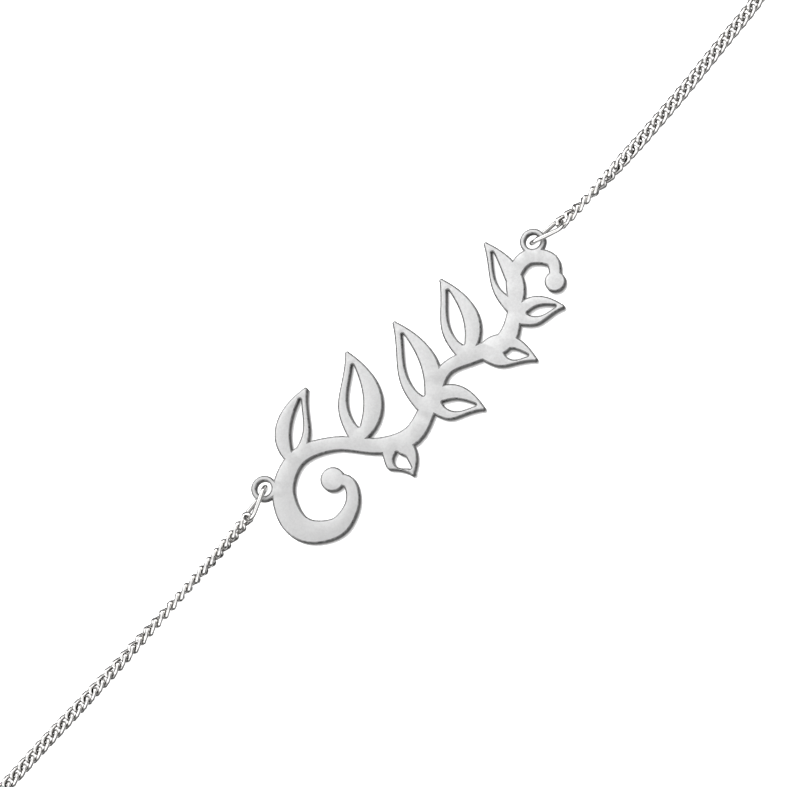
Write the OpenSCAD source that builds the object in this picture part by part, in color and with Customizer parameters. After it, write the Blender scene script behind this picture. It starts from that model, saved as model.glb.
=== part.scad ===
// Chain bracelet with a pierced plate, closed and lying flat.
// Millimetres, +Z up. The origin is on the back of the plate, under the middle of its stem.
// The plate is a leafy stem sawn out of sheet, with an eyelet soldered to each end.

/* [Plate] */
// Length of the plate from curl to curl
plate_len = 26.9; // [23:0.1:31]
// Height of the plate from its lowest leaf to its highest
plate_h = 9.7; // [8.6:0.1:11.2]
// Thickness of the sheet
plate_t = 1.05; // [0.95:0.05:1.3]
// Width of the stem where it is heaviest
stem_w = 1.65; // [1.4:0.05:1.9]
// Width of a leaf's pointed tip
leaf_tip_w = 0.34; // [0.2:0.02:0.5]
// Diameter of the round bud in the left curl
bud_left_d = 1.7; // [1.4:0.05:1.9]
// Diameter of the round bud in the right curl
bud_right_d = 1.45; // [1.2:0.05:1.6]

/* [Eyelets] */
// Outer diameter of an eyelet
eyelet_od = 1.8; // [1.7:0.05:2]
// Bore of an eyelet
eyelet_bore = 1.05; // [1:0.05:1.15]
// Thickness of an eyelet, whose front is level with the plate's
eyelet_t = 0.52; // [0.45:0.01:0.54]
// Depth to which an eyelet's rim is let into the stem
solder_depth = 0.3; // [0.22:0.01:0.36]

/* [Rings] */
// Wire of every connecting ring
ring_wire = 0.32; // [0.3:0.01:0.36]
// Length of an oval connector over its wire
connector_len = 2.85; // [2.6:0.05:3.1]
// Width of an oval connector over its wire
connector_w = 1.7; // [1.6:0.05:1.9]
// Diameter of the clasp's round ring over its wire
clasp_ring_od = 2.2; // [2.1:0.05:2.5]
// Diameter of the round end ring over its wire
end_ring_od = 2.7; // [2.6:0.05:3]

/* [Chain] */
// Length of a link over its wire
link_len = 1.38; // [1.34:0.01:1.5]
// Width of a link over its wire, across its own plane
link_w = 1.12; // [1.08:0.01:1.2]
// Height of a link over its wire, as it leans in the chain
link_h = 0.72; // [0.66:0.01:0.78]
// Wire of a link
link_wire = 0.2; // [0.16:0.01:0.21]

/* [Clasp] */
// Outer diameter of the clasp's ring
clasp_od = 5.2; // [4.6:0.1:6]
// Thickness of the clasp's ring
clasp_wire = 1.1; // [0.9:0.05:1.2]
// Outer diameter of the clasp's soldered loop
loop_od = 1.95; // [1.8:0.05:2.2]
// Wire of the clasp's soldered loop
loop_wire = 0.45; // [0.35:0.05:0.5]

/* [Fit] */
// Gap between a ring or connector and the end link that it holds
link_gap = 0.13; // [0.11:0.01:0.15]
// Gap under what a ring carries
lift_gap = 0.12; // [0.1:0.01:0.16]
// Gap between the rings and links and the surface that they lie on
floor_gap = 0.02; // [0:0.005:0.04]

/* [Hidden] */
$fn = 64;

// Columns of the outline tables
X = 0;
Y = 1;
WIDTH = 2;

// The stem from the left bud to the right one: across in % of plate_len, up in % of plate_h,
// and its width in % of stem_w
stem_rows = [
    [-31.5, 6, 54], [-29, -4, 54], [-32, -17, 62], [-38.5, -22, 84], [-44.5, -11, 100],
    [-45.8, 6, 104], [-42, 26, 92], [-34, 35, 76], [-25, 24, 62], [-17, 1, 70],
    [-9, -9, 84], [0, 0, 70], [8, 10, 58], [16, 4, 70], [24, -3.5, 84],
    [31, 8, 62], [36.5, 26.5, 62], [42.5, 30.5, 68], [46.5, 17, 58], [43.5, 4, 46]];

// The leaves: foot and tip in % of plate_len and plate_h, sideways bow in % of plate_h,
// then the widths of the leaf and of its slot and the slot's shift to one side in % of stem_w,
// and where the slot starts in % of the leaf, clear of the stem
leaf_rows = [
    [[-36, 31], [-21.5, 68], 12, 150, 52, -18, 20],
    [[-21.5, 14], [-7.5, 67], -13, 190, 66, 21, 20],
    [[-17, -1], [-15.5, -30], 8, 150, 54, -16, 38],
    [[-3.5, -4], [6.5, 60], -12, 178, 64, 20, 20],
    [[-2, -1], [8.5, -29], 9, 150, 50, -15, 30],
    [[13, 6], [22.5, 60], -10, 168, 60, 17, 20],
    [[16.5, 3], [26.5, -28], 9, 140, 44, -12, 47],
    [[30, 6], [37, 58], -9, 138, 36, 24, 26],
    [[29, 2], [40.5, -13], 7, 122, 42, -8, 32]];
// Where a leaf's slot ends along the leaf
slot_to = 0.86;
// Width of a slot's ends, in % of stem_w
slot_end = 9;
// How far toward its foot a leaf is widest: 1 is half way
belly = 0.8;

// Where the eyelets sit on the stem: row of stem_rows, and direction outward in degrees
left_seat = [6, 142];
right_seat = [17, 30];

// The way of the chain from the left eyelet round to the right one, as the points that a smooth
// curve leans on: side, then how far out from that side's eyelet and how far up
route = [
    [-1, 0, 0], [-1, 2, -0.75], [-1, 4, -1], [-1, 9, -1.5], [-1, 14, -2.05], [-1, 19, -2.5],
    [-1, 23.4, -2.8], [-1, 27.2, -3.3], [-1, 30.6, -3], [-1, 32.6, -0.2], [-1, 32.2, 3.6],
    [-1, 29.6, 8.2], [-1, 24.6, 17], [-1, 15.2, 30], [-1, 1.5, 40.6],
    [1, -10.6, 42], [1, 4, 33.4], [1, 15.4, 21.6], [1, 22.4, 14.4], [1, 26.6, 9.8], [1, 27.4, 5],
    [1, 24.2, 2.3], [1, 19.6, 1.75], [1, 14.5, 0.85], [1, 9, 0.2], [1, 4.5, -0.3],
    [1, 2.2, -0.4], [1, 0, 0]];
// Steps of the curve between two of those points
route_steps = 24;

// Roll of the left chain's links about their way: distance from the eyelet, degrees
left_roll = [[2.4, -56], [9.5, -107], [21, -180]];
// Roll of the right chain's links
right_roll = [[2.4, 6], [12, 180]];
// Roll of the last links toward lying flat at the clasp, and the length that it takes
end_roll = 18;
end_roll_len = 6;
// Roll of the two connectors from lying flat
left_connector_roll = 66;
right_connector_roll = 61;
// Length in which a chain comes down from a connector, and from the clasp
connector_slope = 5;
clasp_slope = 9;

// Steps of a stroke's curve between two rows, of a leaf's sides, and of a stroke's round end
stroke_steps = 6;
leaf_steps = 16;
cap_steps = 7;

// General functions on points and curves
function mix(a, b, t) = a + (b - a) * t;
function unit2(v) = v / norm(v);
function left_of(v) = [-v.y, v.x];
function reversed(list) = [for (i = [len(list) - 1 : -1 : 0]) list[i]];
function row_of(list, i) = list[max(0, min(i, len(list) - 1))];

// A point of the curve that passes through every row of a table
function through(rows, i, t) =
    let (a = row_of(rows, i - 1), b = rows[i], c = rows[i + 1], d = row_of(rows, i + 2))
    0.5 * (2 * b + (c - a) * t + (2 * a - 5 * b + 4 * c - d) * t * t
        + (3 * (b - c) + d - a) * t * t * t);

// A point of the curve that leans on the points of a table, and is smoother than one through them
function leaning(rows, i, t) =
    let (b = rows[i], c = rows[i + 1],
        a = i > 0 ? rows[i - 1] : 2 * b - c,
        d = i + 2 < len(rows) ? rows[i + 2] : 2 * c - b)
    (pow(1 - t, 3) * a + (3 * pow(t, 3) - 6 * t * t + 4) * b
        + (3 * (t + t * t - pow(t, 3)) + 1) * c + pow(t, 3) * d) / 6;

// A stroke is a list of rows [x, y, half width] along its middle
function stroke_row(across, up, width) =
    [across * plate_len / 100, up * plate_h / 100, width * stem_w / 200];
function stroke_way(rows, i) = unit2([for (k = [X, Y]) row_of(rows, i + 1)[k] - row_of(rows, i - 1)[k]]);
function stroke_side(rows, side) =
    [for (i = [0 : len(rows) - 1])
        [rows[i].x, rows[i].y] + side * rows[i][WIDTH] * left_of(stroke_way(rows, i))];
function stroke_cap(row, from) =
    [for (k = [1 : cap_steps - 1])
        [row.x, row.y] + row[WIDTH] * [cos(from - 180 * k / cap_steps), sin(from - 180 * k / cap_steps)]];
function heading(v) = atan2(v.y, v.x);

module stroke(rows) {
    last = len(rows) - 1;
    polygon(concat(
        stroke_side(rows, 1),
        stroke_cap(rows[last], heading(stroke_way(rows, last)) + 90),
        reversed(stroke_side(rows, -1)),
        stroke_cap(rows[0], heading(stroke_way(rows, 0)) - 90)));
}

// The stem
stem_table = [for (row = stem_rows) stroke_row(row.x, row.y, row.z)];
stem_line = [
    for (i = [0 : len(stem_table) - 2], k = [0 : stroke_steps - 1])
        through(stem_table, i, k / stroke_steps),
    stem_table[len(stem_table) - 1]];

// The leaves
function leaf_middle(leaf, t) =
    let (foot = leaf[0], tip = leaf[1],
        a = [foot.x * plate_len, foot.y * plate_h] / 100,
        b = [tip.x * plate_len, tip.y * plate_h] / 100,
        m = (a + b) / 2 + leaf[2] * plate_h / 100 * left_of(unit2(b - a)))
    mix(mix(a, m, t), mix(m, b, t), t);
function leaf_way(leaf, t) = unit2(leaf_middle(leaf, t + 0.01) - leaf_middle(leaf, t - 0.01));
function leaf_line(leaf, from, to, end_w, width, shift) =
    [for (i = [0 : leaf_steps])
        let (t = mix(from, to, i / leaf_steps),
            swell = sin(180 * pow(i / leaf_steps, belly)),
            p = leaf_middle(leaf, t) + shift * swell * left_of(leaf_way(leaf, t)))
        [p.x, p.y, mix(end_w, width, swell) / 2]];

module leaf(row) {
    difference() {
        stroke(leaf_line(row, 0, 1, leaf_tip_w, row[3] * stem_w / 100, 0));
        stroke(leaf_line(row, row[6] / 100, slot_to, slot_end * stem_w / 100, row[4] * stem_w / 100,
            row[5] * stem_w / 100));
    }
}

module ornament() {
    stroke(stem_line);
    for (row = leaf_rows) leaf(row);
    translate([stem_line[0].x, stem_line[0].y]) circle(d = bud_left_d);
    translate([stem_line[len(stem_line) - 1].x, stem_line[len(stem_line) - 1].y])
        circle(d = bud_right_d);
}

// Eyelets stand off the stem's edge by their radius, less what is let in
function eyelet_at(seat) =
    let (row = stem_table[seat[0]],
        out = row[WIDTH] + eyelet_od / 2 - solder_depth)
    [row.x, row.y] + out * [cos(seat[1]), sin(seat[1])];
eyelet_left = eyelet_at(left_seat);
eyelet_right = eyelet_at(right_seat);

module eyelet(at) {
    translate([at.x, at.y, plate_t - eyelet_t]) cylinder(h = eyelet_t, d = eyelet_od);
}
module eyelet_hole(at) {
    translate([at.x, at.y, -plate_t]) cylinder(h = 3 * plate_t, d = eyelet_bore);
}

module nameplate() color("silver") {
    difference() {
        union() {
            linear_extrude(plate_t) ornament();
            eyelet(eyelet_left);
            eyelet(eyelet_right);
        }
        eyelet_hole(eyelet_left);
        eyelet_hole(eyelet_right);
    }
}

// The way round, as points and as tables from the length along it to x and y
route_points = [for (p = route) (p[0] < 0 ? eyelet_left : eyelet_right) + [p[0] * p[1], p[2]]];
route_line = [
    for (i = [0 : len(route_points) - 2], k = [0 : route_steps - 1])
        leaning(route_points, i, k / route_steps),
    route_points[len(route_points) - 1]];
route_at = [for (i = 0, s = 0; i < len(route_line);
    i = i + 1, s = s + (i < len(route_line) ? norm(route_line[i] - route_line[i - 1]) : 0)) s];
route_x = [for (i = [0 : len(route_line) - 1]) [route_at[i], route_line[i].x]];
route_y = [for (i = [0 : len(route_line) - 1]) [route_at[i], route_line[i].y]];
route_len = route_at[len(route_at) - 1];
function route_point(s) = [lookup(s, route_x), lookup(s, route_y)];
function route_heading(s) = heading(route_point(s + link_len / 4) - route_point(s - link_len / 4));

// Puts a piece at length s along the way, z up, rolled about the way and then tipped up along it
module on_route(s, z, roll, tip = 0) {
    p = route_point(s);
    translate([p.x, p.y, z]) rotate([0, -tip, route_heading(s)]) rotate([roll, 0, 0]) children();
}

// An oval ring that lies flat: its four pieces join in one step, at the round faces they share
module oval_bend(turn, bar, radius, wire) {
    rotate([0, 0, turn]) translate([bar / 2, 0, 0]) rotate([0, 0, -90])
        rotate_extrude(angle = 180) translate([radius, 0]) circle(d = wire);
}
module oval_bar(side, bar, radius, wire) {
    translate([-bar / 2, side * radius, 0]) rotate([0, 90, 0]) cylinder(h = bar, d = wire);
}
module oval_ring(length, width, wire) {
    bar = length - width;
    radius = (width - wire) / 2;
    oval_bend(0, bar, radius, wire);
    oval_bend(180, bar, radius, wire);
    oval_bar(1, bar, radius, wire);
    oval_bar(-1, bar, radius, wire);
}
module round_ring(od, wire) {
    rotate_extrude() translate([(od - wire) / 2, 0]) circle(d = wire);
}

// A connector is an oval ring that stands on edge through an eyelet: its near end hangs a little
// inward of the bore's middle, so that its two sides clear the rim
connector_s = (connector_len - ring_wire) / 2 - (eyelet_bore - ring_wire) / 5;
function connector_z(roll) = floor_gap + ring_wire / 2 + (connector_w - ring_wire) / 2 * sin(roll);
module connector() oval_ring(connector_len, connector_w, ring_wire);

module left_connector() color("gainsboro")
    on_route(connector_s, connector_z(left_connector_roll), left_connector_roll) connector();
module right_connector() color("gainsboro")
    on_route(route_len - connector_s, connector_z(right_connector_roll), right_connector_roll)
        connector();

// A link is an oval ring that leans by link_lean, to one side and the other in turn
link_lean = asin((link_h - link_wire) / (link_w - link_wire));
half_link = (link_len - link_wire) / 2;

// Links share out their chain's length evenly, near the pitch at which their gaps are even
even_pitch = half_link * 4 / 3;
// Half the height of a link at its lean, where the chain is rolled
function link_rise(roll) = link_wire / 2
    + (link_w - link_wire) / 2 * max(abs(sin(roll + link_lean)), abs(sin(roll - link_lean)));
// From 1 down to 0 over a length, smoothly
function ease(x, length) = 0.5 + 0.5 * cos(180 * max(0, min(1, x / length)));

// Each link as [s, z, roll]: first and last are distances from the chain's own eyelet, and lean
// is the way in which the first link leans, 1 or -1
function chain_links(first, last, rolls, lean, start_z, end_z) =
    let (count = round((last - first) / even_pitch), pitch = (last - first) / count,
        last_lean = count % 2 == 0 ? lean : -lean)
    [for (i = [0 : count])
        let (s = first + i * pitch,
            roll = lookup(s, rolls) - last_lean * end_roll * max(0, 1 - (last - s) / end_roll_len),
            flat_z = floor_gap + link_rise(roll),
            low_z = mix(flat_z, start_z, ease(s - first, connector_slope)))
        [s, mix(low_z, end_z, ease(last - s, clasp_slope)),
            roll + (i % 2 == 0 ? lean : -lean) * link_lean]];

// side is 1 where the chain runs along the way round, and -1 where it runs against it
module chain(links, side) {
    for (i = [0 : len(links) - 1]) {
        before = row_of(links, i - 1);
        after = row_of(links, i + 1);
        s = side > 0 ? links[i].x : route_len - links[i].x;
        on_route(s, links[i].y, links[i].z, side * atan2(after.y - before.y, after.x - before.x))
            oval_ring(link_len, link_w, link_wire);
    }
}

// Places along the way: the end links hang in the connectors, and the clasp is half way round
link_hold = half_link - link_gap - (ring_wire + link_wire) / 2;
first_link = connector_s + (connector_len - ring_wire) / 2 + link_hold;
clasp_s = route_len / 2;
clasp_r = (clasp_od - clasp_wire) / 2;
loop_r = (loop_od - loop_wire) / 2;
// The loop's wire runs into the clasp's ring, but not through to its other side
loop_s = clasp_s - clasp_r - loop_r - (clasp_wire - loop_wire) / 4;
clasp_ring_r = (clasp_ring_od - ring_wire) / 2;
clasp_ring_s = loop_s - clasp_ring_r;
end_ring_r = (end_ring_od - ring_wire) / 2;
end_ring_s = clasp_s + clasp_r;
clasp_ring_z = floor_gap + clasp_ring_od / 2;
end_ring_z = floor_gap + end_ring_od / 2;
clasp_z = floor_gap + ring_wire + lift_gap + clasp_wire / 2;

module clasp() color("silver") {
    on_route(clasp_s, clasp_z, 0) round_ring(clasp_od, clasp_wire);
    on_route(loop_s, clasp_z, 0) round_ring(loop_od, loop_wire);
}
module clasp_ring() color("gainsboro")
    on_route(clasp_ring_s, clasp_ring_z, 90) round_ring(clasp_ring_od, ring_wire);
module end_ring() color("gainsboro")
    on_route(end_ring_s, end_ring_z, 90) round_ring(end_ring_od, ring_wire);

module chain_left() color("lightgray")
    chain(chain_links(first_link, clasp_ring_s - clasp_ring_r - link_hold, left_roll, 1,
        connector_z(left_connector_roll), clasp_ring_z), 1);
module chain_right() color("lightgray")
    chain(chain_links(first_link, route_len - end_ring_s - end_ring_r - link_hold, right_roll,
        -1, connector_z(right_connector_roll), end_ring_z), -1);

nameplate();
left_connector();
chain_left();
clasp_ring();
clasp();
end_ring();
chain_right();
right_connector();
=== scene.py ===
"""Looks of a fine curb chain bracelet with a pierced silver plate, lying flat on white."""

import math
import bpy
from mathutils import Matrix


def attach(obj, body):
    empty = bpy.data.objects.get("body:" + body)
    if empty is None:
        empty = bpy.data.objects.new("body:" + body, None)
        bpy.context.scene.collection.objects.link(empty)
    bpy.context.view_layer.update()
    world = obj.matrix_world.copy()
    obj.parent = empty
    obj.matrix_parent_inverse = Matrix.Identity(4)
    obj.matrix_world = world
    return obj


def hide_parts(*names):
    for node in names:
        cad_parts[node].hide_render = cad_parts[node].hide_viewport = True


bl_info = {
    "name": "Pierced Plate Bracelet",
    "version": (1, 0, 0),
    "blender": (4, 5, 0),
    "location": "View3D > Sidebar > Bracelet",
    "description": "Dresses a bracelet's plate, curb chains, rings and clasp in silver",
    "category": "Object",
}

import bpy
from mathutils import Matrix, Vector

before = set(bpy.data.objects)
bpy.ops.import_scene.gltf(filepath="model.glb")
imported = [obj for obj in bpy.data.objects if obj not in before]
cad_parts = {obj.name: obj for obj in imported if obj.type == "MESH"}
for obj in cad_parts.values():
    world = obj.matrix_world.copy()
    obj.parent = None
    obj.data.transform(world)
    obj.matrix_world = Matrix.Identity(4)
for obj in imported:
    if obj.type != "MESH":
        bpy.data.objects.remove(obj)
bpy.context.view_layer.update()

MM = 0.001
BODY = "root"

# The way of the chain from the left eyelet round to the right one, as the points that a smooth
# curve leans on: side, then how far out from that side's eyelet and how far up, in mm
ROUTE = (
    (-1, 0, 0), (-1, 2, -0.75), (-1, 4, -1), (-1, 9, -1.5), (-1, 14, -2.05), (-1, 19, -2.5),
    (-1, 23.4, -2.8), (-1, 27.2, -3.3), (-1, 30.6, -3), (-1, 32.6, -0.2), (-1, 32.2, 3.6),
    (-1, 29.6, 8.2), (-1, 24.6, 17), (-1, 15.2, 30), (-1, 1.5, 40.6),
    (1, -10.6, 42), (1, 4, 33.4), (1, 15.4, 21.6), (1, 22.4, 14.4), (1, 26.6, 9.8), (1, 27.4, 5),
    (1, 24.2, 2.3), (1, 19.6, 1.75), (1, 14.5, 0.85), (1, 9, 0.2), (1, 4.5, -0.3),
    (1, 2.2, -0.4), (1, 0, 0),
)
# The middles of the left and right eyelets, in mm
EYELETS = {-1: (-12.369, 3.359), 1: (12.438, 3.539)}
ROUTE_STEPS = 24
# The way's heading at a point is taken from this far before it to this far after it, in mm
HEADING_REACH = 0.35

# Roll of each chain's links about their way: distance from the chain's own eyelet, degrees
LEFT_ROLL = ((2.4, -70), (9.5, -107), (21, -180))
RIGHT_ROLL = ((2.4, 20), (4.6, 73), (10.4, 170), (24, 170), (30, 180))
# Each chain turns this much more over this length before the clasp, in degrees and mm
END_ROLL, END_ROLL_LEN = 30, 6
# The chains come down to the table over these lengths, in mm
CONNECTOR_SLOPE, CLASP_SLOPE = 5, 9
# The oval connectors' roll about the way, and their twist from one end to the other, in degrees
LEFT_CONNECTOR_ROLL, RIGHT_CONNECTOR_ROLL = 66, 61
LEFT_CONNECTOR_TWIST, RIGHT_CONNECTOR_TWIST = -40, 34
# Links and rings that stand on edge get less painted shade inside: these shares of it are taken off
LINK_SHADE_LIFT, RING_SHADE_LIFT = 0.25, 0.65

# Sizes of the frame that the rings and the chain's ends are placed by, in mm
PLATE_T = 1.05
CONNECTOR_LEN, CONNECTOR_W, CAD_RING_WIRE = 2.85, 1.7, 0.32
EYELET_BORE = 1.05
CLASP_RING_OD, END_RING_OD = 2.2, 2.7
CLASP_OD, CLASP_WIRE, LOOP_OD, LOOP_WIRE = 5.2, 1.1, 1.95, 0.45
# Gaps that are left under every piece, between the clasp and a ring, and in a chain's end, in mm
FLOOR_GAP, LIFT_GAP, LINK_GAP = 0.02, 0.12, 0.02

# Segments round each kind of ring and round its wire
LINK_SEGMENTS, RING_SEGMENTS = (24, 8), (48, 16)
CLASP_SEGMENTS, LOOP_SEGMENTS = (96, 32), (48, 20)
# A soldered joint is this much thicker than its ring's wire
JOINT_SWELL = 1.1
# Mesh size of the clasp where its ring and loop are melted together, in mm
CLASP_VOXEL = 0.055

# The plate's rounded edges: where each strip of the quarter circle ends, in degrees
EDGE_STEPS = (22, 45, 67, 90)
# A face is flat or wall by how far its normal points up or down, and rim in between
FLAT_TILT, WALL_TILT = 0.985, 0.1
# Faces that meet at more than this angle keep a sharp edge, in degrees
SHARP_ANGLE = 38
# Corners this near each other are one, and a face this near the plate's front or back is in it, in m
SAME_PLACE, LEVEL = 1e-6, 1e-5

# Scales of the noise that makes each pattern, in 1/mm: the larger, the finer
GRAIN, CLOUDS, WAVES = 7, 0.16, 1.1
NICKS, STROKES, WALL_CLOUDS = 4, 16, 1.3
MARKS, PEENING, TABLE_CLOUDS = 5, 18, 0.02
# The blade's strokes are drawn out along the wall's height by this share
STROKE_STRETCH = 0.12

# Shades of the finishes, as shares of their colours
# FACE_LEFT and FACE_RIGHT paint the face darker at its left end and brighter at its right, as
# painted shade and light
FACE_LEFT, FACE_RIGHT, FACE_CLOUD, FACE_GRAIN = 0.88, 1.08, 0.7, 0.6
# RIM paints the rounded edge dark grey, as painted shade along the plate's outline; RIM_DARK and
# RIM_BRIGHT are its random nicks
RIM, RIM_DARK, RIM_BRIGHT = 0.3, 0.6, 1.4
# WALL_FOOT paints the wall's foot bright, as a painted reflection of the white table; WALL_DARK and
# WALL_BRIGHT are random clouds
WALL_DARK, WALL_BRIGHT, WALL_FOOT = 0.7, 1.25, 1.35
SILVER_DULL, TABLE_DULL = 0.9, 0.985
# How much of the face's clouds and grain is mixed in where they are strongest
FACE_MIX = 0.3
# The face's painted light grows along the plate between these places, in mm, from dark at the left
# end to bright at the right
PAINTED_LIGHT_FROM_TO = -13, 13
# The wall's painted reflection of the white table, at its foot, fades between these shares of the
# plate's thickness
FOOT_FROM_TO = 0.25, 0.65
# A ring's inside is wholly dark from this mark of hidden on
WHOLLY_HIDDEN = 0.8
# Roughness of the finishes: the range for the plate's edges, the middle for the wires
RIM_ROUGHNESS, WALL_ROUGHNESS = (0.24, 0.4), (0.34, 0.55)
CHAIN_ROUGHNESS, RING_ROUGHNESS, CLASP_ROUGHNESS = 0.13, 0.2, 0.12

# The table: its size in m, and its own glow, which keeps it white
TABLE_SIZE, TABLE_GLOW = 6, 0.8
# The studio around the table: height from straight down, 0, to straight up, 1, and brightness
SKY = (
    (0.0, 0.85), (0.16, 0.7), (0.28, 0.04), (0.58, 0.04), (0.73, 0.9), (0.9, 1.5), (1.0, 0.75),
)
# Its blue is this much stronger than its red and green
SKY_BLUE = 1.01
# Soft lights: name, place and width in m, power in W
PANELS = (
    ("back_panel", (0, 0.45, 0.3), 0.4, 0.8),
    ("left_panel", (-0.5, 0.08, 0.3), 0.3, 0.5),
    ("right_panel", (0.5, 0.1, 0.26), 0.26, 0.4),
)
# The picture's width, and how far right of its middle and above it the plate's is, in pixels
PICTURE_W, PLATE_RIGHT, PLATE_ABOVE = 787, 5.75, 26.75
# Width of the camera's sensor, in mm
SENSOR_W = 36


class PlateSettings(bpy.types.PropertyGroup):
    """Sizes and colours of the plate's finish"""

    edge: bpy.props.FloatProperty(
        name="Front Edge", description="How far the front edge is rounded over, in mm",
        default=0.11, min=0.02, max=0.14)
    back_edge: bpy.props.FloatProperty(
        name="Back Edge", description="How far the back edge is rounded over, in mm",
        default=0.04, min=0.01, max=0.1)
    face_colour: bpy.props.FloatVectorProperty(
        name="Face", description="Colour of the satin face", subtype="COLOR", size=3,
        default=(0.7, 0.7, 0.695), min=0, max=1)
    # The walls' dark colour is painted shade
    wall_colour: bpy.props.FloatVectorProperty(
        name="Sawn Wall", description="Colour of the sawn side walls", subtype="COLOR", size=3,
        default=(0.12, 0.117, 0.113), min=0, max=1)
    face_roughness: bpy.props.FloatProperty(
        name="Face Roughness", description="Roughness of the satin face", subtype="FACTOR",
        default=0.36, min=0, max=1)


class ChainSettings(bpy.types.PropertyGroup):
    """Sizes and colours of the chains, rings and clasp"""

    link_len: bpy.props.FloatProperty(
        name="Link Length", description="Length of a link over its wire, in mm",
        default=1.5, min=1.3, max=1.6)
    link_w: bpy.props.FloatProperty(
        name="Link Width", description="Width of a link over its wire, in mm",
        default=1.0, min=0.9, max=1.1)
    link_wire: bpy.props.FloatProperty(
        name="Link Wire", description="Thickness of a link's wire, in mm",
        default=0.315, min=0.2, max=0.33)
    pitch: bpy.props.FloatProperty(
        name="Pitch", description="Distance from link to link, in mm",
        default=0.787, min=0.75, max=0.85)
    twist: bpy.props.FloatProperty(
        name="Twist", description="Turn of a link's wire from one end to the other",
        subtype="ANGLE", default=math.radians(-110), min=math.radians(-130),
        max=math.radians(130))
    ring_wire: bpy.props.FloatProperty(
        name="Ring Wire", description="Thickness of the rings' and connectors' wire, in mm",
        default=0.32, min=0.28, max=0.4)
    silver: bpy.props.FloatVectorProperty(
        name="Silver", description="Colour of the polished silver", subtype="COLOR", size=3,
        default=(0.9, 0.89, 0.87), min=0, max=1)
    # This colour paints shade, over partly tarnished silver, where the links hide each other
    tarnish_and_shade: bpy.props.FloatVectorProperty(
        name="Tarnish", description="Colour of the silver where it is never rubbed",
        subtype="COLOR", size=3, default=(0.03, 0.023, 0.019), min=0, max=1)


class StageSettings(bpy.types.PropertyGroup):
    """Camera, table and light"""

    tilt: bpy.props.FloatProperty(
        name="Tilt", description="Camera's angle off the plate's upright", subtype="ANGLE",
        default=math.radians(17), min=0, max=math.radians(60))
    turn: bpy.props.FloatProperty(
        name="Turn", description="How far the plate's length is turned in the picture",
        subtype="ANGLE", default=math.radians(42.2))
    scale: bpy.props.FloatProperty(
        name="Scale", description="Size of a pixel at the plate, in mm", default=0.068,
        min=0.02, max=0.2)
    distance: bpy.props.FloatProperty(
        name="Distance", description="Camera's distance", subtype="DISTANCE", default=0.36,
        min=0.1, max=1)
    table_colour: bpy.props.FloatVectorProperty(
        name="Table", description="Colour of the table", subtype="COLOR", size=3,
        default=(0.93, 0.93, 0.93), min=0, max=1)


# The way round

def heading(v):
    """Angle of a flat direction, or of a rise over a length"""
    return math.atan2(v[1], v[0])


def leaning(points, i, t):
    """A point of the curve that leans on the points and is smoother than one through them"""
    b, c = points[i], points[i + 1]
    a = points[i - 1] if i > 0 else 2 * b - c
    d = points[i + 2] if i + 2 < len(points) else 2 * c - b
    return ((1 - t) ** 3 * a + (3 * t ** 3 - 6 * t * t + 4) * b
            + (3 * (t + t * t - t ** 3) + 1) * c + t ** 3 * d) / 6


def route_line():
    """Points along the way, close together, and how far along it each is, in mm"""
    points = [Vector((EYELETS[side][0] + side * out, EYELETS[side][1] + up))
              for side, out, up in ROUTE]
    line = [leaning(points, i, k / ROUTE_STEPS)
            for i in range(len(points) - 1) for k in range(ROUTE_STEPS)] + [points[-1]]
    at = [0.0]
    for a, b in zip(line, line[1:]):
        at.append(at[-1] + (b - a).length)
    return line, at


def lookup(x, table):
    """The table's value at x, in straight steps between its rows"""
    if x <= table[0][0]:
        return table[0][1]
    for (x0, y0), (x1, y1) in zip(table, table[1:]):
        if x <= x1:
            return y0 + (y1 - y0) * (x - x0) / (x1 - x0)
    return table[-1][1]


LINE, LINE_AT = route_line()
ROUTE_LEN = LINE_AT[-1]
ROUTE_X = [(s, p.x) for s, p in zip(LINE_AT, LINE)]
ROUTE_Y = [(s, p.y) for s, p in zip(LINE_AT, LINE)]


def route_point(s):
    """The point at length s along the way, in mm"""
    return Vector((lookup(s, ROUTE_X), lookup(s, ROUTE_Y)))


def on_route(s, z, roll, tip=0.0):
    """Where a piece goes at length s along the way, rolled about it and tipped up along it, in m"""
    p = route_point(s)
    turn = heading(route_point(s + HEADING_REACH) - route_point(s - HEADING_REACH))
    return (Matrix.Translation((p.x * MM, p.y * MM, z * MM)) @ Matrix.Rotation(turn, 4, "Z")
            @ Matrix.Rotation(-tip, 4, "Y") @ Matrix.Rotation(math.radians(roll), 4, "X"))


# Modelling helpers

def only(obj):
    """Selects one object alone and makes it the active one"""
    if bpy.context.object and bpy.context.object.mode != "OBJECT":
        bpy.ops.object.mode_set(mode="OBJECT")
    bpy.ops.object.select_all(action="DESELECT")
    obj.select_set(True)
    bpy.context.view_layer.objects.active = obj


def pick(obj, kind, test):
    """In edit mode, selects the vertices or faces that pass a test on their place and normal"""
    bpy.ops.mesh.select_mode(type="FACE" if kind == "faces" else "VERT")
    bpy.ops.mesh.select_all(action="DESELECT")
    bpy.ops.object.mode_set(mode="OBJECT")
    mesh = obj.data
    items = mesh.polygons if kind == "faces" else mesh.vertices
    for item in items:
        item.select = bool(test(item.center if kind == "faces" else item.co, item.normal))
    bpy.ops.object.mode_set(mode="EDIT")


def apply(obj, kind, **values):
    """Adds a modifier with these values and applies it"""
    only(obj)
    modifier = obj.modifiers.new(kind.title(), kind)
    for key, value in values.items():
        setattr(modifier, key, value)
    bpy.ops.object.modifier_apply(modifier=modifier.name)


def smooth(obj, angle=None):
    """Shades an object smooth, all over or where its faces meet at less than an angle"""
    only(obj)
    if angle is None:
        bpy.ops.object.shade_smooth()
    else:
        bpy.ops.object.shade_smooth_by_angle(angle=math.radians(angle))


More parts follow.
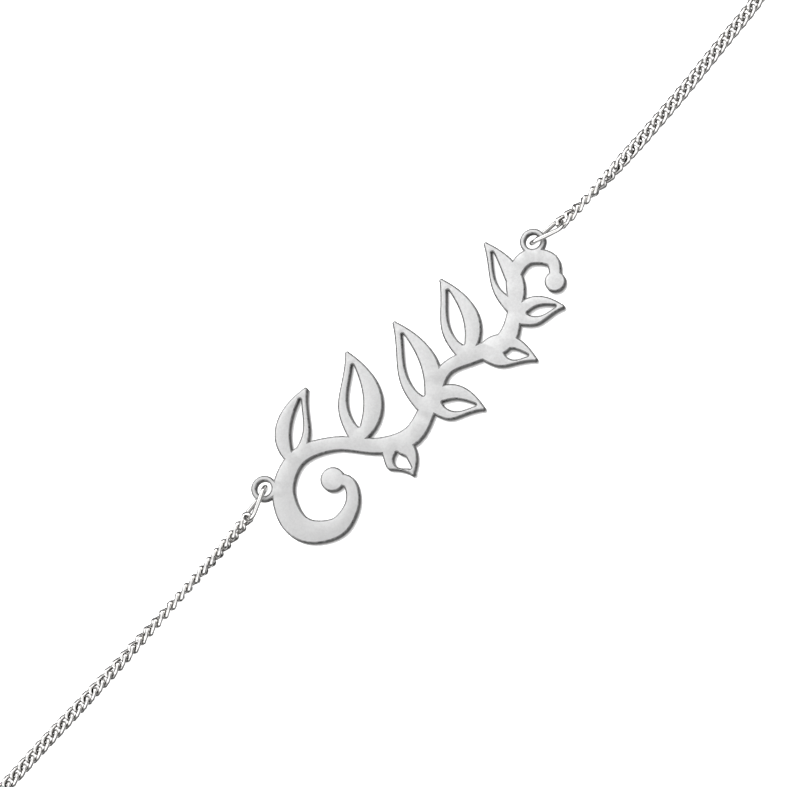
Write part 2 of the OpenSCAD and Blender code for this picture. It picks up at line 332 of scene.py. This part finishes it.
def oval_ring(name, length, width, wire, around, across):
    """An oval wire ring that lies flat about the origin, from sizes in mm"""
    bpy.ops.object.select_all(action="DESELECT")
    bpy.ops.mesh.primitive_torus_add(
        major_segments=around, minor_segments=across,
        major_radius=(width - wire) / 2 * MM, minor_radius=wire / 2 * MM)
    obj = bpy.context.object
    obj.name = obj.data.name = name
    stretch = (length - width) / 2 * MM
    bpy.ops.object.mode_set(mode="EDIT")
    if stretch > 0:
        tiny = wire * 0.01 * MM
        pick(obj, "vertices", lambda co, n: co.x > tiny)
        bpy.ops.transform.translate(value=(stretch, 0, 0))
        pick(obj, "vertices", lambda co, n: co.x < -tiny)
        bpy.ops.transform.translate(value=(-stretch, 0, 0))
    bpy.ops.object.mode_set(mode="OBJECT")
    return obj


def finish_piece(obj, material_slot, *nodes):
    """Hangs a piece on the body's empty and hides the CAD nodes that it stands for; material_slot is
    not used
    """
    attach(obj, BODY)
    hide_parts(*nodes)


# Materials

class Shader:
    """Builds one node material, node by node"""

    def __init__(self, name, colour, metallic=1.0, roughness=0.3):
        self.material = bpy.data.materials.new(name)
        self.material.use_nodes = True
        self.material.diffuse_color = (*colour, 1)
        self.tree = self.material.node_tree
        self.shader = self.tree.nodes["Principled BSDF"]
        self.set("Base Color", (*colour, 1))
        self.set("Metallic", metallic)
        self.set("Roughness", roughness)

    def set(self, socket, value):
        self.shader.inputs[socket].default_value = value

    def node(self, kind, links=None, **values):
        n = self.tree.nodes.new(kind)
        for key, value in values.items():
            setattr(n, key, value)
        for socket, source in (links or {}).items():
            self.tree.links.new(source, n.inputs[socket])
        return n

    def link(self, source, socket):
        self.tree.links.new(source, self.shader.inputs[socket])

    def place(self, scale=(1, 1, 1)):
        """Object coordinates in mm, stretched by scale"""
        coordinates = self.node("ShaderNodeTexCoord")
        mapping = self.node("ShaderNodeMapping", {"Vector": coordinates.outputs["Object"]})
        mapping.inputs["Scale"].default_value = [1000 * s for s in scale]
        return mapping.outputs["Vector"]

    def noise(self, vector, scale, detail=3.0, roughness=0.55):
        """A cloudy pattern, from about 0.3 to 0.7"""
        n = self.node("ShaderNodeTexNoise", {"Vector": vector})
        n.inputs["Scale"].default_value = scale
        n.inputs["Detail"].default_value = detail
        n.inputs["Roughness"].default_value = roughness
        return n.outputs["Fac"]

    def between(self, factor, low, high, from_min=0.3, from_max=0.7):
        """A factor stretched from its own range to the one from low to high"""
        n = self.node("ShaderNodeMapRange", {"Value": factor})
        for socket, value in (("From Min", from_min), ("From Max", from_max),
                              ("To Min", low), ("To Max", high)):
            n.inputs[socket].default_value = value
        return n.outputs["Result"]

    def blend(self, factor, first, second):
        """The first colour where the factor is 0 and the second where it is 1"""
        n = self.node("ShaderNodeMix", data_type="RGBA")
        self.tree.links.new(factor, n.inputs["Factor"])
        for socket, value in ((n.inputs[6], first), (n.inputs[7], second)):
            if isinstance(value, bpy.types.NodeSocket):
                self.tree.links.new(value, socket)
            else:
                socket.default_value = (*value, 1)
        return n.outputs[2]

    def bump(self, *heights):
        """Chains bumps, each (height socket, strength, distance in mm)"""
        normal = None
        for height, strength, distance in heights:
            n = self.node("ShaderNodeBump", {"Height": height})
            n.inputs["Strength"].default_value = strength
            n.inputs["Distance"].default_value = distance * MM
            if normal is not None:
                self.tree.links.new(normal, n.inputs["Normal"])
            normal = n.outputs["Normal"]
        self.link(normal, "Normal")


def shaded(colour, factor):
    return tuple(c * factor for c in colour)


def satin_face(settings):
    """Fine-grained satin silver, unevenly worn into faint clouds, with painted shade and light that
    make it darker to the left and brighter to the right
    """
    colour, roughness = settings.face_colour, settings.face_roughness
    s = Shader("satin_face", colour, roughness=roughness)
    flat = s.place()
    grain = s.noise(flat, GRAIN, 2, 0.7)
    clouds = s.noise(flat, CLOUDS, 3)
    length = s.node("ShaderNodeSeparateXYZ", {"Vector": flat}).outputs["X"]
    # Painted shade and light: the face is darker at the plate's left end and brighter at its right
    lit = s.blend(s.between(length, 0, 1, *PAINTED_LIGHT_FROM_TO), shaded(colour, FACE_LEFT),
                     shaded(colour, FACE_RIGHT))
    cloudy = s.blend(s.between(clouds, FACE_MIX, 0), lit, shaded(colour, FACE_CLOUD))
    s.link(s.blend(s.between(grain, FACE_MIX, 0), cloudy, shaded(colour, FACE_GRAIN)),
           "Base Color")
    s.link(s.between(grain, roughness - 0.04, roughness + 0.06), "Roughness")
    s.bump((grain, 0.3, 0.01), (s.noise(flat, WAVES, 2), 0.2, 0.03))
    return s.material


def rim_painted_shade(settings):
    """The rounded edge of the plate: its dark grey is painted shade for the outline along the edges,
    deepened by the dark studio it mirrors; its nicks vary it at random
    """
    colour = shaded(settings.face_colour, RIM)
    s = Shader("rim_painted_shade", colour)
    nicks = s.noise(s.place(), NICKS)
    s.link(s.blend(s.between(nicks, 0, 1), shaded(colour, RIM_DARK), shaded(colour, RIM_BRIGHT)),
           "Base Color")
    s.link(s.between(nicks, *RIM_ROUGHNESS), "Roughness")
    s.bump((nicks, 0.3, 0.006))
    return s.material


def sawn_wall_painted_light(settings):
    """The sawn side wall with the blade's upright strokes: its dark grey is painted shade, and its
    bright foot is a painted reflection of the white table
    """
    colour = settings.wall_colour
    s = Shader("sawn_wall_painted_light", colour, roughness=0.42)
    strokes = s.noise(s.place((1, 1, STROKE_STRETCH)), STROKES)
    clouds = s.noise(s.place(), WALL_CLOUDS)
    # Painted shade: the wall's dark grey, varied by random clouds
    sawn = s.blend(s.between(clouds, 0, 1), shaded(colour, WALL_DARK),
                   shaded(colour, WALL_BRIGHT))
    height = s.node("ShaderNodeSeparateXYZ", {"Vector": s.place()}).outputs["Z"]
    # Painted reflection: the wall is painted bright at its foot, as if it mirrored the white table
    foot = s.between(height, 1, 0, *(share * PLATE_T for share in FOOT_FROM_TO))
    s.link(s.blend(foot, sawn, shaded(settings.face_colour, WALL_FOOT)), "Base Color")
    s.link(s.between(strokes, *WALL_ROUGHNESS), "Roughness")
    s.bump((strokes, 0.6, 0.012))
    return s.material


def polished_silver(settings, name, roughness):
    """Tumbled silver wire with faint worn marks: bright outside, and dark where another link hides
    it, painted shade over partly tarnished silver
    """
    s = Shader(name, settings.silver, roughness=roughness)
    hidden = s.node("ShaderNodeAttribute", attribute_name="hidden").outputs["Fac"]
    marks = s.noise(s.place(), MARKS, 4)
    worn = s.blend(s.between(marks, 0, 1), shaded(settings.silver, SILVER_DULL), settings.silver)
    # Painted shade over partly tarnished silver: the wire goes dark where the hidden mark is high
    s.link(s.blend(s.between(hidden, 0, 1, 0, WHOLLY_HIDDEN), worn, settings.tarnish_and_shade),
           "Base Color")
    s.link(s.between(marks, roughness - 0.03, roughness + 0.09), "Roughness")
    s.bump((s.noise(s.place(), PEENING), 0.12, 0.006))
    return s.material


# The plate

class BRACELET_OT_plate(bpy.types.Operator):
    """Rounds the plate's edges over and gives its face, rim and sawn walls their finish"""

    bl_idname = "bracelet.plate"
    bl_label = "Dress Plate"
    bl_options = {"REGISTER", "UNDO"}

    def execute(self, context):
        settings = context.scene.bracelet_plate
        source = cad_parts["nameplate"]
        obj = source.copy()
        obj.data = source.data.copy()
        obj.parent = None
        obj.name = obj.data.name = "plate"
        context.collection.objects.link(obj)
        only(obj)
        bpy.ops.object.mode_set(mode="EDIT")
        bpy.ops.mesh.select_all(action="SELECT")
        bpy.ops.mesh.remove_doubles(threshold=SAME_PLACE)
        for up, edge in ((1, settings.edge), (-1, settings.back_edge)):
            self.round_over(obj, up, edge)
        bpy.ops.object.mode_set(mode="OBJECT")
        self.finish(obj, settings)
        return {"FINISHED"}

    @staticmethod
    def round_over(obj, up, edge):
        """Rounds the edge of the front, where up is 1, or the back, where it is -1"""
        level = PLATE_T * MM if up > 0 else 0
        pick(obj, "faces", lambda c, n: n.z * up > FLAT_TILT and abs(c.z - level) < LEVEL)
        bpy.ops.transform.translate(value=(0, 0, -up * edge * MM))
        before = (0.0, 0.0)
        for degrees in EDGE_STEPS:
            angle = math.radians(degrees)
            now = (edge * (1 - math.cos(angle)), edge * math.sin(angle))
            bpy.ops.mesh.inset(
                thickness=(now[0] - before[0]) * MM, depth=(now[1] - before[1]) * MM,
                use_boundary=True, use_even_offset=True)
            before = now

    @staticmethod
    def finish(obj, settings):
        """Gives each face its material by its tilt, and keeps the flat faces evenly shaded"""
        obj.data.materials.clear()
        for material in (satin_face(settings), rim_painted_shade(settings), sawn_wall_painted_light(settings)):
            obj.data.materials.append(material)
        for face in obj.data.polygons:
            tilt = abs(face.normal.z)
            face.material_index = 0 if tilt > FLAT_TILT else 2 if tilt < WALL_TILT else 1
        smooth(obj, SHARP_ANGLE)
        apply(obj, "WEIGHTED_NORMAL", weight=100, keep_sharp=True)
        finish_piece(obj, "plate", "nameplate")


# The chains

def curb_link(settings):
    """One link: an oval wire ring whose two ends are turned apart about its length"""
    sizes = (settings.link_len, settings.link_w, settings.link_wire)
    link = oval_ring("curb_link", *sizes, *LINK_SEGMENTS)
    reach = settings.link_len - settings.link_wire
    apply(link, "SIMPLE_DEFORM", deform_method="TWIST", deform_axis="X",
          angle=settings.twist * settings.link_len / reach)
    mark_hidden(link, *sizes)
    smooth(link)
    return link


def mark_hidden(ring, length, width, wire):
    """Marks how far each point of a ring lies toward its middle, where it gets painted shade over
    partly tarnished silver
    """
    hidden = ring.data.attributes.new("hidden", "FLOAT", "POINT")
    radius = (width - wire) / 2 * MM
    bar = (length - width) / 2 * MM
    thick = wire / 2 * MM
    for vertex, value in zip(ring.data.vertices, hidden.data):
        co = vertex.co
        x = max(abs(co.x) - bar, 0)
        away = math.hypot(x, math.hypot(co.y, co.z))
        value.value = min(1, max(0, (radius - away) / thick))


def lift_shade(ring, roll, share):
    """Takes painted shade off the inside of a ring, the nearer it is rolled to standing on its edge
    """
    left = 1 - share * abs(math.sin(math.radians(roll)))
    for value in ring.data.attributes["hidden"].data:
        value.value *= left


def half_heights(link):
    """Half the height of a link at each degree of roll"""
    points = {(round(v.co.y, 8), round(v.co.z, 8)) for v in link.data.vertices}
    heights = []
    for degrees in range(360):
        c, s = math.cos(math.radians(degrees)), math.sin(math.radians(degrees))
        heights.append(max(y * s + z * c for y, z in points) / MM)
    return heights


def ease(x, length):
    """From 1 down to 0 over a length, smoothly"""
    return 0.5 + 0.5 * math.cos(math.pi * max(0, min(1, x / length)))


def connector_s():
    """How far a connector's middle is from its eyelet's: a fifth of its play is taken up"""
    return (CONNECTOR_LEN - CAD_RING_WIRE) / 2 - (EYELET_BORE - CAD_RING_WIRE) / 5


def connector_z(roll, wire):
    """How high a rolled connector's middle is when its lower strand lies on the table"""
    return FLOOR_GAP + wire / 2 + (CONNECTOR_W - CAD_RING_WIRE) / 2 * math.sin(math.radians(roll))


def clasp_places():
    """Where the clasp, its loop and the two round rings are along the way, and how high, in mm"""
    middle = ROUTE_LEN / 2
    clasp_r, loop_r = (CLASP_OD - CLASP_WIRE) / 2, (LOOP_OD - LOOP_WIRE) / 2
    off_wire = (CLASP_WIRE - LOOP_WIRE) / 4
    loop = middle - clasp_r - loop_r - off_wire
    clasp_z = FLOOR_GAP + CAD_RING_WIRE + LIFT_GAP + CLASP_WIRE / 2
    return {
        "clasp": (middle, clasp_z),
        "loop": (loop, clasp_z),
        "clasp_ring": (loop - (CLASP_RING_OD - CAD_RING_WIRE) / 2, FLOOR_GAP + CLASP_RING_OD / 2),
        "end_ring": (middle + clasp_r, FLOOR_GAP + END_RING_OD / 2),
    }


def chain_rows(settings, link, last, rolls, side, start_z, end_z):
    """Each link as (distance from the chain's own eyelet, height, roll)"""
    rise = half_heights(link)
    half = (settings.link_len - settings.link_wire) / 2
    hold = half - (settings.ring_wire + settings.link_wire) / 2 - LINK_GAP
    first = connector_s() + (CONNECTOR_LEN - CAD_RING_WIRE) / 2 + hold
    last -= hold
    count = round((last - first) / settings.pitch)
    rows = []
    for i in range(count + 1):
        s = first + (last - first) * i / count
        roll = lookup(s, rolls) + side * END_ROLL * max(0, 1 - (last - s) / END_ROLL_LEN)
        flat = FLOOR_GAP + rise[round(roll) % 360]
        low = flat + (start_z - flat) * ease(s - first, CONNECTOR_SLOPE)
        rows.append((s, low + (end_z - low) * ease(last - s, CLASP_SLOPE), roll))
    return rows


def lay_chain(link, rows, side, name):
    """Copies the link to each row, each copy with its own mesh, and joins them"""
    copies = []
    for i, (s, z, roll) in enumerate(rows):
        before, after = rows[max(0, i - 1)], rows[min(i + 1, len(rows) - 1)]
        tip = side * heading((after[0] - before[0], after[1] - before[1]))
        copy = link.copy()
        copy.data = link.data.copy()
        copy.data.transform(on_route(s if side > 0 else ROUTE_LEN - s, z, roll, tip))
        lift_shade(copy, roll, LINK_SHADE_LIFT)
        bpy.context.collection.objects.link(copy)
        copies.append(copy)
    only(copies[0])
    for copy in copies:
        copy.select_set(True)
    bpy.ops.object.join()
    chain = bpy.context.object
    chain.name = chain.data.name = name
    return chain


class BRACELET_OT_chains(bpy.types.Operator):
    """Models one curb link and lays both chains from it along the way round"""

    bl_idname = "bracelet.chains"
    bl_label = "Lay Curb Chains"
    bl_options = {"REGISTER", "UNDO"}

    def execute(self, context):
        settings = context.scene.bracelet_chain
        link = curb_link(settings)
        silver = polished_silver(settings, "polished_silver", CHAIN_ROUGHNESS)
        places = clasp_places()
        wire = settings.ring_wire
        ring_r = (CLASP_RING_OD - CAD_RING_WIRE) / 2
        end_r = (END_RING_OD - CAD_RING_WIRE) / 2
        left_end = places["clasp_ring"][0] - ring_r
        right_end = ROUTE_LEN - places["end_ring"][0] - end_r
        for name, node, side, end, rolls, roll, end_z in (
                ("left_curb_chain", "chain_left", 1, left_end, LEFT_ROLL,
                 LEFT_CONNECTOR_ROLL, places["clasp_ring"][1]),
                ("right_curb_chain", "chain_right", -1, right_end, RIGHT_ROLL,
                 RIGHT_CONNECTOR_ROLL, places["end_ring"][1])):
            rows = chain_rows(settings, link, end, rolls, side, connector_z(roll, wire), end_z)
            chain = lay_chain(link, rows, side, name)
            chain.data.materials.append(silver)
            finish_piece(chain, "chain", node)
        bpy.data.objects.remove(link)
        return {"FINISHED"}


# Rings and clasp

def close_joint(ring, wire, width):
    """Swells the wire a little where a ring was closed and soldered"""
    side = (width - wire) / 2 * MM
    bpy.ops.object.mode_set(mode="EDIT")
    pick(ring, "vertices", lambda co, n: abs(co.x) < wire * 0.05 * MM and co.y > 0)
    bpy.ops.transform.resize(
        value=(1, JOINT_SWELL, JOINT_SWELL), center_override=(0, side, 0))
    bpy.ops.object.mode_set(mode="OBJECT")


class BRACELET_OT_rings(bpy.types.Operator):
    """Models the two connectors and the two round rings, each closed by a soldered joint"""

    bl_idname = "bracelet.rings"
    bl_label = "Close Rings"
    bl_options = {"REGISTER", "UNDO"}

    def execute(self, context):
        settings = context.scene.bracelet_chain
        wire = settings.ring_wire
        places = clasp_places()
        silver = polished_silver(settings, "ring_silver", RING_ROUGHNESS)
        thicker = wire - CAD_RING_WIRE
        connector = (CONNECTOR_LEN + thicker, CONNECTOR_W + thicker)
        # Name, node, length, width, how far along the way, how high, roll and twist
        rows = (
            ("left_oval_connector", "left_connector", *connector, connector_s(),
             connector_z(LEFT_CONNECTOR_ROLL, wire), LEFT_CONNECTOR_ROLL, LEFT_CONNECTOR_TWIST),
            ("right_oval_connector", "right_connector", *connector, ROUTE_LEN - connector_s(),
             connector_z(RIGHT_CONNECTOR_ROLL, wire), RIGHT_CONNECTOR_ROLL,
             RIGHT_CONNECTOR_TWIST),
            ("round_clasp_ring", "clasp_ring", CLASP_RING_OD, CLASP_RING_OD,
             *places["clasp_ring"], 90, 0),
            ("round_end_ring", "end_ring", END_RING_OD, END_RING_OD, *places["end_ring"], 90, 0),
        )
        for name, node, length, width, s, z, roll, twist in rows:
            ring = oval_ring(name, length, width, wire if length > width else CAD_RING_WIRE,
                             *RING_SEGMENTS)
            close_joint(ring, wire, width)
            mark_hidden(ring, length, width, wire)
            lift_shade(ring, roll, RING_SHADE_LIFT)
            apply(ring, "SIMPLE_DEFORM", deform_method="TWIST", deform_axis="X",
                  angle=math.radians(twist))
            ring.data.transform(on_route(s, z, roll))
            # The twist can bring a strand too low, so the ring is lifted by what is missing
            lowest = min(v.co.z for v in ring.data.vertices)
            ring.data.transform(Matrix.Translation((0, 0, max(0, FLOOR_GAP * MM - lowest))))
            smooth(ring)
            ring.data.materials.append(silver)
            finish_piece(ring, "rings", node)
        return {"FINISHED"}


class BRACELET_OT_clasp(bpy.types.Operator):
    """Models the ring clasp with its loop soldered on"""

    bl_idname = "bracelet.clasp"
    bl_label = "Solder Clasp"
    bl_options = {"REGISTER", "UNDO"}

    def execute(self, context):
        settings = context.scene.bracelet_chain
        places = clasp_places()
        ring = oval_ring("ring_clasp", CLASP_OD, CLASP_OD, CLASP_WIRE, *CLASP_SEGMENTS)
        loop = oval_ring("clasp_loop", LOOP_OD, LOOP_OD, LOOP_WIRE, *LOOP_SEGMENTS)
        ring.data.transform(on_route(*places["clasp"], 0))
        loop.data.transform(on_route(*places["loop"], 0))
        only(ring)
        loop.select_set(True)
        bpy.ops.object.join()
        apply(ring, "REMESH", mode="VOXEL", voxel_size=CLASP_VOXEL * MM)
        apply(ring, "SMOOTH", factor=0.5, iterations=8)
        smooth(ring)
        ring.data.materials.clear()
        ring.data.materials.append(polished_silver(settings, "clasp_silver", CLASP_ROUGHNESS))
        finish_piece(ring, "clasp", "clasp")
        return {"FINISHED"}


# The stage

class BRACELET_OT_stage(bpy.types.Operator):
    """Lays the white table, hangs the soft lights and sets the camera"""

    bl_idname = "bracelet.stage"
    bl_label = "Set Stage"
    bl_options = {"REGISTER", "UNDO"}

    def execute(self, context):
        settings = context.scene.bracelet_stage
        self.table(settings)
        self.light(context.scene)
        self.camera(context.scene, settings)
        context.scene.view_settings.view_transform = "Standard"
        return {"FINISHED"}

    @staticmethod
    def table(settings):
        """A wide white table that the silver doesn't mirror"""
        bpy.ops.object.select_all(action="DESELECT")
        bpy.ops.mesh.primitive_plane_add(size=TABLE_SIZE)
        table = bpy.context.object
        table.name = "table"
        s = Shader("white_table", settings.table_colour, metallic=0, roughness=0.6)
        s.set("Emission Color", (1, 1, 1, 1))
        s.set("Emission Strength", TABLE_GLOW)
        clouds = s.noise(s.place(), TABLE_CLOUDS, 2)
        s.link(s.blend(s.between(clouds, 0, 1), shaded(settings.table_colour, TABLE_DULL),
                       settings.table_colour), "Base Color")
        table.data.materials.append(s.material)
        table.visible_glossy = False

    @staticmethod
    def light(scene):
        """A studio that is bright above and dark around, and three soft lights"""
        world = bpy.data.worlds.new("studio")
        scene.world = world
        world.use_nodes = True
        nodes, links = world.node_tree.nodes, world.node_tree.links
        coordinates = nodes.new("ShaderNodeTexCoord")
        split = nodes.new("ShaderNodeSeparateXYZ")
        ramp = nodes.new("ShaderNodeValToRGB")
        height = nodes.new("ShaderNodeMapRange")
        height.inputs["From Min"].default_value = -1
        links.new(coordinates.outputs["Generated"], split.inputs[0])
        links.new(split.outputs["Z"], height.inputs["Value"])
        links.new(height.outputs["Result"], ramp.inputs["Fac"])
        links.new(ramp.outputs["Color"], nodes["Background"].inputs["Color"])
        elements = ramp.color_ramp.elements
        while len(elements) < len(SKY):
            elements.new(0.5)
        for element, (position, level) in zip(elements, SKY):
            element.position = position
            element.color = (level, level, level * SKY_BLUE, 1)
        for name, place, size, power in PANELS:
            data = bpy.data.lights.new(name, "AREA")
            data.shape, data.size, data.energy = "DISK", size, power
            panel = bpy.data.objects.new(name, data)
            panel.location = place
            panel.rotation_euler = (-Vector(place)).to_track_quat("-Z", "Y").to_euler()
            scene.collection.objects.link(panel)

    @staticmethod
    def camera(scene, settings):
        """Looks down at the plate, tilted back toward its foot and turned in the picture"""
        tilt, turn = settings.tilt, settings.turn
        back = Vector((0, -math.sin(tilt), math.cos(tilt)))
        along = Vector((1, 0, 0))
        up = Vector((0, math.cos(tilt), math.sin(tilt)))
        right = math.cos(turn) * along - math.sin(turn) * up
        top = math.sin(turn) * along + math.cos(turn) * up
        target = Vector((0, sum(y for _, y in EYELETS.values()) / 2, PLATE_T / 2)) * MM
        pixel = settings.scale * MM
        middle = target - PLATE_RIGHT * pixel * right - PLATE_ABOVE * pixel * top
        data = bpy.data.cameras.new("camera")
        data.sensor_width = SENSOR_W
        data.lens = SENSOR_W * settings.distance / (PICTURE_W * pixel)
        data.clip_start, data.clip_end = 0.01, 20
        camera = bpy.data.objects.new("camera", data)
        camera.matrix_world = Matrix((
            (right.x, top.x, back.x, 0), (right.y, top.y, back.y, 0), (right.z, top.z, back.z, 0),
            (0, 0, 0, 1)))
        camera.location = middle + settings.distance * back
        scene.collection.objects.link(camera)
        scene.camera = camera


class BRACELET_PT_panel(bpy.types.Panel):
    """Lists the bracelet's settings and steps"""

    bl_idname = "BRACELET_PT_panel"
    bl_label = "Bracelet"
    bl_space_type = "VIEW_3D"
    bl_region_type = "UI"
    bl_category = "Bracelet"

    def draw(self, context):
        scene = context.scene
        for settings, operators in (
                (scene.bracelet_plate, ("bracelet.plate",)),
                (scene.bracelet_chain, ("bracelet.chains", "bracelet.rings", "bracelet.clasp")),
                (scene.bracelet_stage, ("bracelet.stage",))):
            box = self.layout.box()
            for key in settings.__annotations__:
                box.prop(settings, key)
            for name in operators:
                box.operator(name)


CLASSES = (PlateSettings, ChainSettings, StageSettings, BRACELET_OT_plate, BRACELET_OT_chains,
           BRACELET_OT_rings, BRACELET_OT_clasp, BRACELET_OT_stage, BRACELET_PT_panel)
GROUPS = (("bracelet_plate", PlateSettings), ("bracelet_chain", ChainSettings),
          ("bracelet_stage", StageSettings))


def register():
    for cls in CLASSES:
        bpy.utils.register_class(cls)
    for name, group in GROUPS:
        setattr(bpy.types.Scene, name, bpy.props.PointerProperty(type=group))


def unregister():
    for name, _ in GROUPS:
        delattr(bpy.types.Scene, name)
    for cls in reversed(CLASSES):
        bpy.utils.unregister_class(cls)


def main():
    register()
    bpy.ops.bracelet.plate()
    bpy.ops.bracelet.chains()
    bpy.ops.bracelet.rings()
    bpy.ops.bracelet.clasp()
    bpy.ops.bracelet.stage()


if __name__ == "__main__":
    main()
